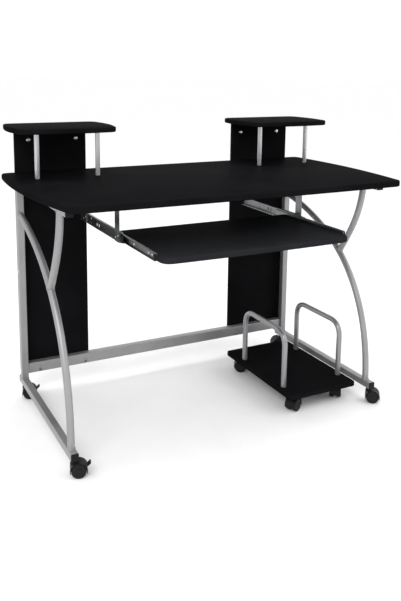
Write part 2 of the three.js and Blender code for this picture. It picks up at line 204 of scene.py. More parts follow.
STEEL = surface("bright_steel", (0.50, 0.50, 0.50), (0.64, 0.64, 0.63),
                (0.85, 0.85, 0.84), 1.0, (0.18, 0.30), 900, (0.06, 0.0002))
PLASTIC = surface("black_plastic", (0.0045, 0.0045, 0.005), (0.009, 0.009, 0.0095),
                  (0.035, 0.035, 0.035), 0.0, (0.38, 0.52), 1600, (0.16, 0.0003), ior=1.22)
TREAD = surface("wheel_plastic", (0.006, 0.006, 0.006), (0.013, 0.0125, 0.012),
                (0.05, 0.047, 0.044), 0.0, (0.44, 0.62), 800, (0.22, 0.0004), wear=0.8, patch=45,
                ior=1.25)


# ---------- mesh helpers ----------
def add_piece(name, bm, body, material, nodes=(), sharp=35, bevel=0.0):
    """Turns bm into a piece that rides on body and stands for the CAD nodes."""
    bmesh.ops.recalc_face_normals(bm, faces=bm.faces)
    mesh = bpy.data.meshes.new(name)
    bm.to_mesh(mesh)
    bm.free()
    mesh.materials.append(material)
    mesh.shade_smooth()
    mesh.set_sharp_from_angle(angle=math.radians(sharp))
    made = bpy.data.objects.new(name, mesh)
    bpy.context.scene.collection.objects.link(made)
    if bevel:
        modifier = made.modifiers.new("soft_edges", "BEVEL")
        modifier.width = bevel
        modifier.segments = 3
        modifier.limit_method = "ANGLE"
        modifier.angle_limit = math.radians(sharp)
        modifier.harden_normals = True
    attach(made, body)
    if nodes:
        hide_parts(*nodes)
    return made


def loft(bm, loops, caps=True, ring=False):
    """Joins loops of equal length by quads. ring also joins the last loop to the first."""
    rows = [[bm.verts.new(point) for point in loop] for loop in loops]
    pairs = list(zip(rows, rows[1:])) + ([(rows[-1], rows[0])] if ring else [])
    for low, high in pairs:
        for i, first in enumerate(low):
            j = (i + 1) % len(low)
            bm.faces.new((first, low[j], high[j], high[i]))
    if caps and not ring:
        bm.faces.new(rows[0][::-1])
        bm.faces.new(rows[-1])


def lathe(bm, profile, place, sides=48):
    """Turns (radius, height) points about place's Z axis. The profile's ends lie on the axis."""
    loops = []
    for radius, height in profile[1:-1]:
        ring = []
        for i in range(sides):
            angle = math.tau * i / sides
            ring.append(place @ Vector((radius * math.cos(angle), radius * math.sin(angle), height)))
        loops.append(ring)
    loft(bm, loops, caps=False)
    bm.verts.ensure_lookup_table()
    rows = bm.verts[len(bm.verts) - sides * len(loops):]
    for row, end in ((rows[:sides], profile[0]), (rows[-sides:], profile[-1])):
        tip = bm.verts.new(place @ Vector((0, 0, end[1])))
        for i, vertex in enumerate(row):
            bm.faces.new((vertex, row[(i + 1) % sides], tip))


def quadratic(start, control, end, steps):
    """Points of a quadratic curve after its start."""
    points = []
    for i in range(1, steps + 1):
        t = i / steps
        points.append(tuple((1 - t) ** 2 * a + 2 * t * (1 - t) * b + t * t * c
                            for a, b, c in zip(start, control, end)))
    return points


def cubic(points, t):
    a, b, c, d = (Vector(p) for p in points)
    u = 1 - t
    return u ** 3 * a + 3 * u * u * t * b + 3 * u * t * t * c + t ** 3 * d


def board_outline(shape, centre, back, front):
    """The board from above: straight back, bowed front, curved sides and rounded corners."""
    back_corner, front_corner = shape["corners"]
    wide, narrow = shape["back"], shape["front"]
    ends = front + shape["bow"]
    side_back, side_front = back - back_corner, ends + front_corner
    middle = (side_back + side_front) / 2
    right = quadratic((wide - back_corner, back), (wide, back), (wide, side_back), 12)
    right += quadratic(right[-1], (shape["control"], middle), (narrow, side_front), 28)
    right += quadratic(right[-1], (narrow, ends), (narrow - front_corner, ends), 12)
    bow = quadratic(right[-1], (0, front - shape["bow"]), (-narrow + front_corner, ends), 24)
    left = [(-x, y) for x, y in right[::-1]]
    outline = [(wide - back_corner, back), *right, *bow, *left[1:], (-wide + back_corner, back)]
    return [(centre + x, y) for x, y in outline]


def rounded_rectangle(low, high, radius, steps=6):
    points = []
    corners = ((high[0], high[1], 0), (low[0], high[1], 1), (low[0], low[1], 2), (high[0], low[1], 3))
    for x, y, quarter in corners:
        cx = x - radius if quarter in (0, 3) else x + radius
        cy = y - radius if quarter in (0, 1) else y + radius
        for i in range(steps + 1):
            angle = math.pi / 2 * (quarter + i / steps)
            points.append((cx + radius * math.cos(angle), cy + radius * math.sin(angle)))
    return points


def inset(outline, distance):
    """The outline moved inwards by distance, point by point."""
    if not distance:
        return outline
    area = sum(a[0] * b[1] - b[0] * a[1] for a, b in zip(outline, outline[1:] + outline[:1]))
    turn = 1 if area > 0 else -1
    moved = []
    for i, point in enumerate(outline):
        before, after = Vector(outline[i - 1]), Vector(outline[(i + 1) % len(outline)])
        along = (after - before).normalized()
        moved.append((point[0] - turn * along.y * distance, point[1] + turn * along.x * distance))
    return moved


def slab(bm, outline, low, high, edge, place, steps=5):
    """A plate with rounded rims; place turns (u, v, height) into a point."""
    levels = []
    for i in range(steps + 1):
        angle = math.pi / 2 * i / steps
        levels.append((edge * (1 - math.sin(angle)), edge * (1 - math.cos(angle))))
    loops = []
    for inward, rise in levels:
        loops.append([place(u, v, low + rise) for u, v in inset(outline, inward)])
    for inward, rise in levels[::-1]:
        loops.append([place(u, v, high - rise) for u, v in inset(outline, inward)])
    loft(bm, loops)


def planar_tube(bm, points, radius, sides=32, bumps=0.0, closed=False):
    """A round tube along points, whose ends are cut square unless it is closed."""
    loops = []
    side = None
    for i, point in enumerate(points):
        before = points[i - 1] if i or closed else point
        after = points[(i + 1) % len(points)] if i + 1 < len(points) or closed else point
        along = (after - before).normalized()
        side = along.orthogonal().normalized() if side is None else (side - along * side.dot(along))
        side = side.normalized()
        other = along.cross(side)
        size = radius * (1 + bumps * math.cos(math.pi * i))
        loops.append([point + size * (math.cos(a) * side + math.sin(a) * other)
                      for a in (math.tau * k / sides for k in range(sides))])
    loft(bm, loops, ring=closed)


def filleted(path, radius, steps=5):
    """The 2-D path with its inner corners rounded."""
    points = [Vector(path[0])]
    for before, corner, after in zip(path, path[1:], path[2:]):
        corner = Vector(corner)
        start = corner + (Vector(before) - corner).normalized() * radius
        end = corner + (Vector(after) - corner).normalized() * radius
        points.append(start)
        points += [Vector(p) for p in quadratic(start, corner, end, steps)]
    points.append(Vector(path[-1]))
    return points


def bent_strip(bm, path, thickness, low, high, place):
    """Sheet metal folded along path, from low to high across it; place gives (u, v, across)."""
    sides = ([], [])
    for i, point in enumerate(path):
        along = (path[min(i + 1, len(path) - 1)] - path[max(i - 1, 0)]).normalized()
        normal = Vector((-along.y, along.x)) * thickness / 2
        sides[0].append(point + normal)
        sides[1].append(point - normal)
    count = len(path)
    grid = [[[bm.verts.new(place(p.x, p.y, across)) for p in line] for line in sides]
            for across in (low, high)]
    for i in range(count - 1):
        for across in (0, 1):
            bm.faces.new((grid[across][0][i], grid[across][0][i + 1],
                          grid[across][1][i + 1], grid[across][1][i]))
        for line in (0, 1):
            bm.faces.new((grid[0][line][i], grid[0][line][i + 1],
                          grid[1][line][i + 1], grid[1][line][i]))
    for i in (0, count - 1):
        bm.faces.new((grid[0][0][i], grid[0][1][i], grid[1][1][i], grid[1][0][i]))


def drill(piece, holes):
    """Cuts round or oblong holes, each (centre, axis, radius, depth, slot vector)."""
    bm = bmesh.new()
    for centre, axis, radius, depth, slot in holes:
        turn = axis.to_track_quat("Z", "Y").to_matrix()
        loops = []
        for end in (-depth / 2, depth / 2):
            ring = []
            for i in range(24):
                angle = math.tau * i / 24
                spoke = turn @ Vector((radius * math.cos(angle), radius * math.sin(angle), end))
                ring.append(centre + spoke + slot * (0.5 if spoke.dot(slot) > 0 else -0.5))
            loops.append(ring)
        loft(bm, loops)
    bmesh.ops.recalc_face_normals(bm, faces=bm.faces)
    mesh = bpy.data.meshes.new("hole_cutter")
    bm.to_mesh(mesh)
    bm.free()
    cutter = bpy.data.objects.new("hole_cutter", mesh)
    bpy.context.scene.collection.objects.link(cutter)
    modifier = piece.modifiers.new("holes", "BOOLEAN")
    modifier.operation = "DIFFERENCE"
    modifier.solver = "EXACT"
    modifier.object = cutter
    bpy.context.view_layer.update()
    evaluated = piece.evaluated_get(bpy.context.evaluated_depsgraph_get())
    cut = bpy.data.meshes.new_from_object(evaluated)
    piece.modifiers.clear()
    piece.data = cut
    cut.set_sharp_from_angle(angle=math.radians(35))
    bpy.data.objects.remove(cutter)


def screw_head(bm, centre, normal, radius, height):
    """A low domed head with a pressed cross in it."""
    place = Matrix.Translation(centre) @ normal.to_track_quat("Z", "Y").to_matrix().to_4x4()
    rings, sides = 10, 48
    arm, reach, depth = 0.13 * radius, 0.62 * radius, 0.55 * height
    loops = []
    for k in range(rings, 0, -1):
        share = k / rings
        ring = []
        for i in range(sides):
            angle = math.tau * i / sides
            u, v = share * radius * math.cos(angle), share * radius * math.sin(angle)
            rise = height * math.sqrt(max(0.0, 1 - share ** 4))
            across = min(abs(u), abs(v))
            inside = across < arm and share * radius < reach
            ring.append(place @ Vector((u, v, rise - (depth if inside else 0))))
        loops.append(ring)
    base = [place @ Vector((radius * math.cos(math.tau * i / sides),
                            radius * math.sin(math.tau * i / sides), -0.0004)) for i in range(sides)]
    loft(bm, [base, *loops])


# ---------- boards ----------
def horizontal(u, v, height):
    return Vector((u, v, height))


def upright_plane(u, v, depth):
    return Vector((u, depth, v))


def make_board(name, node, body, shape, edge, laminate=LAMINATE):
    low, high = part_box(node)
    outline = board_outline(shape, (low.x + high.x) / 2, high.y, low.y)
    bm = bmesh.new()
    slab(bm, outline, low.z, high.z, edge, horizontal)
    add_piece(name, bm, body, laminate, (node,))


def make_panel(name, node):
    low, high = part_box(node)
    outline = rounded_rectangle((low.x, low.z), (high.x, high.z), PANEL_CORNER)
    bm = bmesh.new()
    slab(bm, outline, low.y, high.y, PANEL_RIM, upright_plane)
    add_piece(name, bm, DESK, LAMINATE, (node,))


# Radius and height of a bolt cover's outline, and its distances from the panel's edges.
COVER = [(0, -0.0004), (0.0068, -0.0004), (0.0068, 0.0008), (0.0060, 0.0020), (0.0040, 0.0028),
         (0.0012, 0.0031), (0, 0.0031)]
COVER_PLACE = dict(inner=0.0335, outer=0.0425, top=0.035)


def make_cam_bolts(side):
    """Two bright domed covers near the top of each panel's front face."""
    low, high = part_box(f"{side}_back_panel")
    sign = SIDES[side]
    inner, outer = (low.x, high.x) if sign > 0 else (high.x, low.x)
    facing = Matrix.Rotation(math.pi / 2, 4, "X")
    bm = bmesh.new()
    for x in (inner + sign * COVER_PLACE["inner"], outer - sign * COVER_PLACE["outer"]):
        place = Matrix.Translation((x, low.y, high.z - COVER_PLACE["top"])) @ facing
        lathe(bm, COVER, place, 40)
    add_piece(f"{side}_panel_bolts", bm, DESK, SATIN)


def make_boards():
    make_board("tabletop_board", "tabletop", DESK, TABLE_SHAPE, THICK_RIM)
    # The tray takes the lighter laminate copy, which is painted light against the shade under the
    # tabletop.
    make_board("keyboard_tray_board", "keyboard_tray", TRAY, TRAY_SHAPE, THIN_RIM, TRAY_LAMINATE_PAINTED_LIGHT)
    make_board("cart_base_board", "cart_board", CART, CART_SHAPE, THIN_RIM)
    for side in SIDES:
        make_board(f"{side}_shelf_board", f"{side}_shelf", DESK, SHELF_SHAPE, THICK_RIM)
        make_panel(f"{side}_panel_board", f"{side}_back_panel")
        make_cam_bolts(side)


def make_post(side, place):
    node = f"{side}_shelf_post_{place}"
    low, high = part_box(node)
    radius, height, chamfer = (high.x - low.x) / 2, high.z - low.z, 0.0007
    profile = [(0, 0), (radius - chamfer, 0), (radius, chamfer), (radius, height - chamfer),
               (radius - chamfer, height), (0, height)]
    bm = bmesh.new()
    foot = Matrix.Translation(((low.x + high.x) / 2, (low.y + high.y) / 2, low.z))
    lathe(bm, profile, foot)
    add_piece(f"{node}_rod", bm, DESK, SATIN, (node,))


# ---------- side frames ----------
def make_square_tube(node):
    """A hollow tube with rounded corners in the place of its CAD node, along its longest side."""
    low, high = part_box(node)
    size = high - low
    axis = max(range(3), key=lambda i: size[i])
    a, b = (i for i in range(3) if i != axis)
    wall = TUBE_WALL

    def loop(shrink, radius, along):
        points = rounded_rectangle((low[a] + shrink, low[b] + shrink),
                                   (high[a] - shrink, high[b] - shrink), radius)
        made = []
        for u, v in points:
            point = Vector((0, 0, 0))
            point[a], point[b], point[axis] = u, v, along
            made.append(point)
        return made

    bm = bmesh.new()
    inner = TUBE_CORNER - wall
    loft(bm, [loop(0, TUBE_CORNER, low[axis]), loop(0, TUBE_CORNER, high[axis]),
              loop(wall, inner, high[axis]), loop(wall, inner, low[axis])], ring=True)
    return add_piece(f"{node}_tube", bm, DESK, SILVER, (node,))


def make_plug(node, towards):
    """A pressed-in cap whose outer face is softly domed."""
    low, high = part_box(node)
    outer = low.y if towards < 0 else high.y
    inner = outer - towards * PLUG_FLANGE
    bm = bmesh.new()
    levels = ((0, inner), (0, outer - towards * 0.0012), (0.0004, outer - towards * 0.0005),
              (0.0010, outer - towards * 0.0001), (0.0018, outer))
    loft(bm, [[Vector((u, y, v)) for u, v in rounded_rectangle(
        (low.x + shrink, low.z + shrink), (high.x - shrink, high.z - shrink), TUBE_CORNER - shrink)]
        for shrink, y in levels])
    add_piece(f"{node}_cap", bm, DESK, PLASTIC, (node,))


def frame_x(side):
    low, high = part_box(f"{side}_upright")
    return (low.x + high.x) / 2


def brace_points(bezier, x, start, end, steps):
    points = []
    for i in range(steps + 1):
        y, z = cubic(bezier, start + (end - start) * i / steps)
        points.append(Vector((x, PANEL_FRONT + y, z)))
    return points


def crossing(bezier, axis, value):
    """The curve's parameter where one coordinate passes value."""
    offset = PANEL_FRONT if axis == 0 else 0
    low, high = 0.0, 1.0
    rising = cubic(bezier, 1)[axis] > cubic(bezier, 0)[axis]
    for _ in range(40):
        middle = (low + high) / 2
        if (cubic(bezier, middle)[axis] + offset < value) == rising:
            low = middle
        else:
            high = middle
    return (low + high) / 2


def landing(bezier, other, clearance):
    """The parameter where one brace's line first comes within clearance of the other's."""
    line = [cubic(other, i / 200) for i in range(201)]
    for i in range(400, 0, -1):
        point = cubic(bezier, 1 - i / 400)
        if min((point - q).length for q in line) <= clearance:
            return 1 - i / 400
    return 1.0


def make_braces(side):
    x = frame_x(side)
    upright_low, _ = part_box(f"{side}_upright")
    _, rail_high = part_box(f"{side}_foot_rail")
    top_low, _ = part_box(f"{side}_top_rail")

    start = crossing(LONG_BRACE, 0, upright_low.y)
    end = crossing(LONG_BRACE, 1, rail_high.z)
    long_line = brace_points(LONG_BRACE, x, start, end, 72)
    bm = bmesh.new()
    planar_tube(bm, long_line, BRACE_RADIUS)
    add_piece(f"{side}_long_brace_tube", bm, DESK, SILVER, (f"{side}_long_brace",))

    start = crossing(SHORT_BRACE, 1, top_low.z)
    end = landing(SHORT_BRACE, LONG_BRACE, BRACE_RADIUS * 0.7)
    short_line = brace_points(SHORT_BRACE, x, start, end, 32)
    bm = bmesh.new()
    planar_tube(bm, short_line, BRACE_RADIUS)
    add_piece(f"{side}_short_brace_tube", bm, DESK, SILVER,
              (f"{side}_short_brace",))
    make_welds(side, long_line, short_line)


# ---------- weld beads ----------
BEAD = 0.0017


def bead(bm, points):
    planar_tube(bm, points, BEAD, sides=10, bumps=0.16, closed=True)


def round_bead(bm, centre, normal, radius):
    turn = normal.to_track_quat("Z", "Y").to_matrix()
    count = 40
    bead(bm, [centre + turn @ Vector((radius * math.cos(math.tau * i / count),
                                      radius * math.sin(math.tau * i / count), 0))
              for i in range(count)])


def square_bead(bm, low, high, axis, along):
    a, b = (i for i in range(3) if i != axis)
    points = []
    for u, v in rounded_rectangle((low[a], low[b]), (high[a], high[b]), TUBE_CORNER, steps=4):
        point = Vector((0, 0, 0))
        point[a], point[b], point[axis] = u, v, along
        points.append(point)
    spaced = []
    for first, second in zip(points, points[1:] + points[:1]):
        count = max(1, round((second - first).length / 0.0022))
        spaced += [first.lerp(second, k / count) for k in range(count)]
    bead(bm, spaced[: len(spaced) // 2 * 2])


def saddle_bead(bm, short_line, long_line):
    """Follows the seam where the short brace runs into the long one."""
    end, before = short_line[-1], short_line[-3]
    along = (end - before).normalized()
    across = along.cross(X)
    points = []
    for i in range(40):
        angle = math.tau * i / 40
        spoke = BRACE_RADIUS * (math.cos(angle) * X + math.sin(angle) * across)
        for k in range(60):
            point = end - along * (0.024 - k * 0.0005) + spoke
            near = min((point - q).length for q in long_line)
            if near <= BRACE_RADIUS:
                break
        points.append(point)
    bead(bm, points)


def make_welds(side, long_line, short_line):
    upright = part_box(f"{side}_upright")
    top_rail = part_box(f"{side}_top_rail")
    bm = bmesh.new()
    round_bead(bm, long_line[-1] + Z * 0.0005, Z, BRACE_RADIUS)
    round_bead(bm, long_line[0] - Y * 0.0005, Y, BRACE_RADIUS)
    round_bead(bm, short_line[0] - Z * 0.0005, Z, BRACE_RADIUS)
    square_bead(bm, *upright, 2, upright[0].z)
    square_bead(bm, *top_rail, 1, top_rail[1].y)
    saddle_bead(bm, short_line, long_line)
    add_piece(f"{side}_weld_beads", bm, DESK, SILVER, sharp=60)


def make_crossbar():
    """The rear bar, with four screws sunk in short upright slots."""
    front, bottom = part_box("rear_crossbar")[0].yz
    bar = make_square_tube("rear_crossbar")
    places = [sign * distance for sign in (-1, 1) for distance in CROSSBAR_HOLES]
    slot = Z * CROSSBAR_HOLE["length"]
    drill(bar, [(Vector((x, front, bottom + CROSSBAR_HOLE["rise"])), Y, CROSSBAR_HOLE["radius"],
                 CUT_DEPTH, slot) for x in places])
    bm = bmesh.new()
    for x in places:
        seat = Vector((x, front + 0.0012, bottom + CROSSBAR_HOLE["rise"] + 0.001))
        screw_head(bm, seat, -Y, *CROSSBAR_SCREW)
    add_piece("crossbar_screws", bm, DESK, STEEL)


def make_upright_bolt(side):
    low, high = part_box(f"{side}_upright")
    sign = SIDES[side]
    face = high.x if sign > 0 else low.x
    bm = bmesh.new()
    place = Vector((face, (low.y + high.y) / 2, UPRIGHT_BOLT_HEIGHT))
    screw_head(bm, place, X * sign, *UPRIGHT_BOLT)
    add_piece(f"{side}_upright_bolt", bm, DESK, STEEL)


def make_side_frame(side):
    for part in ("foot_rail", "upright", "top_rail"):
        make_square_tube(f"{side}_{part}")
    make_braces(side)
    make_plug(f"{side}_foot_plug_front", -1)
    make_plug(f"{side}_foot_plug_rear", 1)
    make_plug(f"{side}_top_plug_front", -1)
    make_upright_bolt(side)


# ---------- tray slides ----------
def along_y(side):
    """Places a right-hand section (distance from the middle, height) on either side."""
    sign = SIDES[side]
    return lambda u, v, across: Vector((sign * u, across, v))


def right_box(side, node):
    """The node's box as if it were on the right."""
    low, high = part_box(f"{side}_{node}")
    if SIDES[side] < 0:
        return Vector((-high.x, low.y, low.z)), Vector((-low.x, high.y, high.z))
    return low, high


def channel_path(inside, outside, centre, half, lip, thickness):
    """A C section's centreline: web at outside, flanges back to inside, and turned-in lips."""
    t = thickness / 2
    top = half - t
    path = [(inside + t, centre + top - lip), (inside + t, centre + top),
            (outside - t, centre + top), (outside - t, centre - top),
            (inside + t, centre - top), (inside + t, centre - top + lip)]
    return filleted(path, SLIDE_BEND)


# Sheet thicknesses, and the radii that the sheet is folded to.
SLIDE_WALL, SLIDE_BEND, CHANNEL_LIP = 0.0015, 0.0017, 0.0028
CAGE_WALL, CAGE_BEND = 0.001, 0.0014
# The channel's holes, by distance from its back end: upright slots, then a pair of round ones.
CHANNEL_SLOTS = dict(reaches=(0.158, 0.176, 0.300), radius=0.0040, length=0.003)
CHANNEL_ROUNDS = dict(reach=0.105, rises=(0.0085, -0.0065), radius=0.0034)
# The tray's screws, by distance from the inner rail's front end.
TRAY_SCREWS = (0.028, 0.052, 0.150, 0.250)
BUMPER_LENGTH = 0.009
BLOCK_CORNER, BUMPER_RIM, STOP_RIM = 0.0012, 0.0008, 0.0009
BALL_RADIUS, BALLS_IN_A_ROW = 0.00145, 14


def make_channel(side):
    low, high = right_box(side, "slide_outer")
    centre, half = (low.z + high.z) / 2, (high.z - low.z) / 2
    bm = bmesh.new()
    path = channel_path(low.x, high.x, centre, half, CHANNEL_LIP, SLIDE_WALL)
    bent_strip(bm, path, SLIDE_WALL, low.y, high.y, along_y(side))
    channel = add_piece(f"{side}_slide_outer_channel", bm, DESK, ZINC,
                        (f"{side}_slide_outer",))
    face = SIDES[side] * high.x
    slots, rounds = CHANNEL_SLOTS, CHANNEL_ROUNDS
    slot = Z * slots["length"]
    holes = [(Vector((face, high.y - reach, centre)), X, slots["radius"], CUT_DEPTH, slot)
             for reach in slots["reaches"]]
    holes += [(Vector((face, high.y - rounds["reach"], centre + rise)), X, rounds["radius"],
               CUT_DEPTH, Vector()) for rise in rounds["rises"]]
    drill(channel, holes)


def make_inner_rail(side):
    """The rail that carries the tray, with its screws and the bumper in its front end."""
    sign = SIDES[side]
    low, high = right_box(side, "slide_inner")
    centre, half = (low.z + high.z) / 2, (high.z - low.z) / 2
    t = SLIDE_WALL / 2
    path = filleted([(high.x, centre + half - t), (low.x + t, centre + half - t),
                     (low.x + t, centre - half + t), (high.x, centre - half + t)], SLIDE_BEND)
    bm = bmesh.new()
    bent_strip(bm, path, SLIDE_WALL, low.y, high.y, along_y(side))
    add_piece(f"{side}_slide_inner_rail", bm, TRAY, ZINC, (f"{side}_slide_inner",))

    bm = bmesh.new()
    for distance in TRAY_SCREWS:
        seat = Vector((sign * (low.x + SLIDE_WALL), low.y + distance, centre))
        screw_head(bm, seat, X * sign, *SLIDE_SCREW)
    add_piece(f"{side}_tray_screws", bm, TRAY, STEEL)

    bm = bmesh.new()
    clear = SLIDE_WALL + 0.0002
    outline = rounded_rectangle((low.x + clear, centre - half + clear),
                                (high.x, centre + half - clear), BLOCK_CORNER)
    slab(bm, outline, low.y, low.y + BUMPER_LENGTH, BUMPER_RIM, place_across(side))
    add_piece(f"{side}_slide_bumper", bm, TRAY, PLASTIC)


def make_slide_stop(side):
    low, high = right_box(side, "slide_stop")
    bm = bmesh.new()
    outline = rounded_rectangle((low.x, low.z), (high.x, high.z), BLOCK_CORNER)
    slab(bm, outline, low.y, high.y, STOP_RIM, place_across(side))
    add_piece(f"{side}_slide_stop_block", bm, DESK, PLASTIC,
              (f"{side}_slide_stop",))


def place_across(side):
    """Places a right-hand (x, z) outline and its depth on either side."""
    sign = SIDES[side]
    return lambda u, v, depth: Vector((sign * u, depth, v))


def make_cage(side):
    """The sheet cage and the two rows of balls it carries."""
    place, sign = along_y(side), SIDES[side]
    low, high = right_box(side, "slide_ball_cage")
    centre, half = (low.z + high.z) / 2, (high.z - low.z) / 2
    t = CAGE_WALL / 2
    path = filleted([(low.x, centre + half - t), (high.x - t, centre + half - t),
                     (high.x - t, centre - half + t), (low.x, centre - half + t)], CAGE_BEND)
    bm = bmesh.new()
    bent_strip(bm, path, CAGE_WALL, low.y, high.y, place)
    add_piece(f"{side}_ball_cage_strip", bm, CAGES, ZINC,
              (f"{side}_slide_ball_cage",))
    bm = bmesh.new()
    for row in (-1, 1):
        for i in range(BALLS_IN_A_ROW):
            y = low.y + (high.y - low.y) * (i + 0.5) / BALLS_IN_A_ROW
            spot = Vector((sign * (low.x + 0.0030), y, centre + row * half))
            bmesh.ops.create_uvsphere(bm, u_segments=16, v_segments=10, radius=BALL_RADIUS,
                                      matrix=Matrix.Translation(spot))
    add_piece(f"{side}_slide_balls", bm, CAGES, STEEL)


# Radius and height of a rivet's outline, from the sheet outwards.
RIVET = [(0, -0.0003), (0.0030, -0.0003), (0.0030, 0.0004), (0.0022, 0.0011), (0, 0.0014)]
# Each rivet's distance behind the strap's middle, and above its lower end.
RIVETS = ((0.010, 0.012), (-0.008, 0.019))
STRAP_THICKNESS, STRAP_BEND = 0.002, 0.003


def make_hanger(side, place_name):
    """An L-shaped strap: flange under the tabletop, plate down over the channel, two rivets."""
    node = f"slide_hanger_{place_name}"
    low, high = right_box(side, node)
    sign, t = SIDES[side], STRAP_THICKNESS / 2
    path = filleted([(low.x, high.z - t), (high.x - t, high.z - t), (high.x - t, low.z)],
                    STRAP_BEND)
    bm = bmesh.new()
    bent_strip(bm, path, STRAP_THICKNESS, low.y, high.y, along_y(side))
    add_piece(f"{side}_{node}_strap", bm, DESK, ZINC, (f"{side}_{node}",))
    middle = (low.y + high.y) / 2
    bm = bmesh.new()
    for behind, rise in RIVETS:
        rivet = Matrix.Translation((sign * high.x, middle + behind, low.z + rise))
        lathe(bm, RIVET, rivet @ (X * sign).to_track_quat("Z", "Y").to_matrix().to_4x4(), 24)
    seat = Vector((sign * (low.x + 0.009), middle, high.z - STRAP_THICKNESS))
    screw_head(bm, seat, -Z, *SLIDE_SCREW)
    add_piece(f"{side}_{node}_fixings", bm, DESK, STEEL)


# ---------- cart rails ----------
def make_cart_rail(side):
    node = f"cart_{side}_rail"
    low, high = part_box(node)
    radius = (high.x - low.x) / 2
    x, back, front = (low.x + high.x) / 2, high.y - radius, low.y + radius
    top = high.z - radius
    corners = [(back, low.z), (back, top), (front, top), (front, low.z)]
    line = filleted(corners, RAIL_BEND, steps=24)
    dense = [line[0]]
    for point in line[1:]:
        count = max(1, round((point - dense[-1]).length / 0.020))
        first = dense[-1]
        dense += [first.lerp(point, k / count) for k in range(1, count + 1)]
    bm = bmesh.new()
    planar_tube(bm, [Vector((x, p.x, p.y)) for p in dense], radius)
    add_piece(f"{node}_tube", bm, CART, CART_SILVER, (node,))


# ---------- casters ----------
WHEEL_RADIUS = 0.020
HOOD_INNER, HOOD_OUTER = 0.0212, 0.0232
FENDER_START, FENDER_SWEEP = -15, 210
HOOD_HALF_WIDTH, WEB_HALF_WIDTH = 0.018, 0.0044
# The web between the wheels follows the fender round, and closes with a small arc underneath.
WEB_RADIUS, WEB_RIM = 0.0216, 0.0005
WEB_END_RADIUS, WEB_END_START, WEB_END_SWEEP = 0.0095, 215, 110
WHEEL_INNER, WHEEL_OUTER, AXLE_RADIUS = 0.0055, 0.018, 0.003


def caster_frame(name):
    """The caster's own axes: X the way it trails, Y along the axle, origin on the floor."""
    stem = Vector(JOINTS[f"{name}_swivel_turn"]["pos_m"])
    spin = JOINTS[f"{name}_wheels_spin"]
    axle, centre = Vector(spin["axis"]), Vector(spin["pos_m"])
    ahead = Vector((centre.x - stem.x, centre.y - stem.y, 0))
    trail = ahead.length
    ahead.normalize()
    turn = Matrix((ahead, axle, Z)).transposed().to_4x4()
    return Matrix.Translation((stem.x, stem.y, 0)) @ turn, trail


def lie_on_axle(base, trail):
    """A frame whose Z runs along the axle, for turned shapes."""
    return base @ Matrix.Translation((trail, 0, WHEEL_RADIUS)) @ Matrix.Rotation(-math.pi / 2, 4, "X")


def axle_arc(trail, radius, start, sweep, steps):
    """Points round the axle, seen from the side, with angles in degrees."""
    angles = (math.radians(start + sweep * i / steps) for i in range(steps + 1))
    return [Vector((trail + radius * math.cos(a), WHEEL_RADIUS + radius * math.sin(a)))
            for a in angles]


def make_hood(name, node, base, trail, top):
    """The fender over both wheels, the web between them and the stem."""
    def place(u, v, across):
        return base @ Vector((u, across, v))

    bm = bmesh.new()
    arc = axle_arc(trail, (HOOD_INNER + HOOD_OUTER) / 2, FENDER_START, FENDER_SWEEP, 40)
    bent_strip(bm, arc, HOOD_OUTER - HOOD_INNER, -HOOD_HALF_WIDTH, HOOD_HALF_WIDTH, place)
    web = axle_arc(trail, WEB_RADIUS, FENDER_START, FENDER_SWEEP, 30)
    web += axle_arc(trail, WEB_END_RADIUS, WEB_END_START, WEB_END_SWEEP, 12)
    slab(bm, web, -WEB_HALF_WIDTH, WEB_HALF_WIDTH, WEB_RIM, place, steps=2)
    profile = [(0, 0.036), (0.0088, 0.036), (0.0088, 0.0405), (0.0074, 0.0428), (0.0070, 0.0450),
               (0.0055, 0.0458), (0.0055, top), (0, top)]
    lathe(bm, profile, base, 40)
    add_piece(f"{node}_shell", bm, f"{name}_swivel", PLASTIC, (node,), bevel=0.0004)


def make_wheels(name, node, base, trail):
    """Two wheels with dished faces on one short axle."""
    inner, outer, rim = WHEEL_INNER, WHEEL_OUTER, WHEEL_RADIUS
    profile = [(0, inner), (rim - 0.0012, inner), (rim, inner + 0.0012), (rim, outer - 0.0028),
               (rim - 0.0009, outer - 0.0010), (rim - 0.0028, outer), (0.0158, outer),
               (0.0150, outer - 0.0012), (0.0084, outer - 0.0016), (0.0078, outer - 0.0002),
               (0.0062, outer), (0.0030, outer - 0.0002), (0, outer - 0.0006)]
    turned = lie_on_axle(base, trail)
    bm = bmesh.new()
    lathe(bm, profile, turned, 56)
    lathe(bm, [(r, -h) for r, h in profile], turned, 56)
    end = inner + 0.001
    lathe(bm, [(0, -end), (AXLE_RADIUS, -end), (AXLE_RADIUS, end), (0, end)], turned, 24)
    add_piece(f"{node}_pair", bm, f"{name}_wheels", TREAD, (node,))


def make_brake(name, node, base):
    """A thumb plate with gripping ribs, rising from the hood's edge."""
    pivot = base.inverted() @ Vector(JOINTS[f"{name}_brake_press"]["pos_m"])
    local = base @ Matrix.Translation(pivot) @ Matrix.Rotation(-BRAKE_RISE, 4, "Y")

    def place(u, v, height):
        return local @ Vector((u, v, height))

    outline = rounded_rectangle((0, -0.010), (0.012, 0.010), 0.0028)
    bm = bmesh.new()
    slab(bm, outline, -0.0015, 0.0012, 0.0006, place, steps=3)
    for reach in (0.0050, 0.0074, 0.0098):
        rib = rounded_rectangle((reach - 0.0005, -0.0075), (reach + 0.0005, 0.0075), 0.00045, 3)
        slab(bm, rib, 0.0010, 0.0016, 0.0002, place, steps=2)
    add_piece(f"{node}_lever", bm, f"{name}_brake", PLASTIC, (node,))


